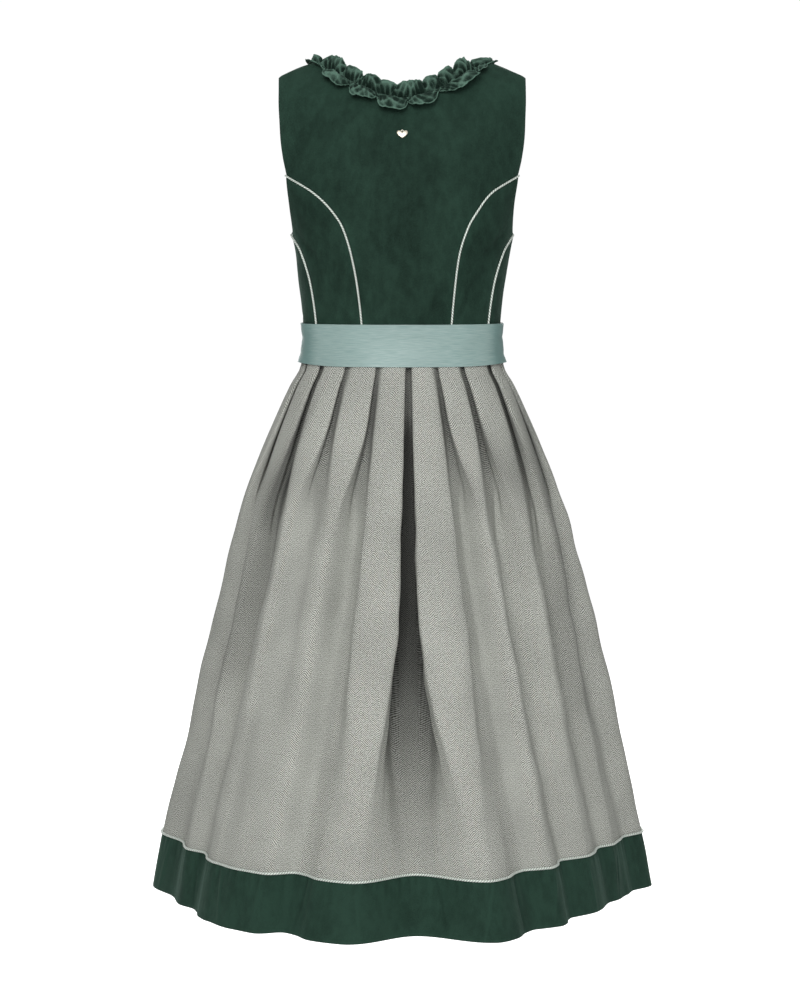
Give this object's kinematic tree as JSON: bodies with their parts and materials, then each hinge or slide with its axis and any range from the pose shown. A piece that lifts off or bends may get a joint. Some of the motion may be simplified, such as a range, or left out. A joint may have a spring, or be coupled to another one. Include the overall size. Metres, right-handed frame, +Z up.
{
  "type": "dirndl dress",
  "caption": "Sleeveless dirndl dress, filled out as if worn: velvet bodice with gathered neck ruffle and buttoned front, taffeta sash, pleated herringbone skirt and velvet hem band.",
  "frame": {"origin": "between the two shoulder straps, at the height where the dress rests on the shoulders", "axes": "+Z up, the wearer faces -Y, +X towards the wearer's left"},
  "size_m": [0.644, 0.5804, 1.0628],
  "materials": {
    "green_velvet": "dark green cotton velvet with a short upright nap",
    "ruffle_velvet": "the same green velvet, gathered, its folds lighter",
    "skirt_herringbone": "silver grey and dark olive herringbone weave, matt",
    "sash_taffeta": "pale teal taffeta with fine slubs, soft sheen",
    "sage_cord": "twisted silvery sage cord",
    "pale_gold": "polished pale gold plating",
    "green_thread": "dark green thread and thread covered buttons"
  },
  "bodies": {
    "dress": {"bodice_back": "green_velvet", "bodice_front_left": "green_velvet", "bodice_front_right": "green_velvet", "bodice_side_back_left": "green_velvet", "bodice_side_back_right": "green_velvet", "bodice_side_front_left": "green_velvet", "bodice_side_front_right": "green_velvet", "neck_ruffle": "ruffle_velvet", "piping_back_left": "sage_cord", "piping_back_right": "sage_cord", "piping_side_left": "sage_cord", "piping_side_right": "sage_cord", "piping_front_left": "sage_cord", "piping_front_right": "sage_cord", "sash": "sash_taffeta", "skirt_back": "skirt_herringbone", "skirt_front": "skirt_herringbone", "hem_band_back": "green_velvet", "hem_band_front": "green_velvet", "hem_piping_back": "sage_cord", "hem_piping_front": "sage_cord", "button_1": "green_thread", "button_2": "green_thread", "button_3": "green_thread", "button_4": "green_thread", "button_5": "green_thread", "button_6": "green_thread", "button_7": "green_thread", "charm_knot": "green_thread"},
    "charm": {"charm": "pale_gold"}
  },
  "joints": [
    {"name": "charm_swing", "type": "hinge", "parent": "dress", "child": "charm", "pos_m": [0, 0.0764, -0.08109], "axis": [0, 0.9448, 0.3275], "range_deg": [-45, 45]}
  ]
}
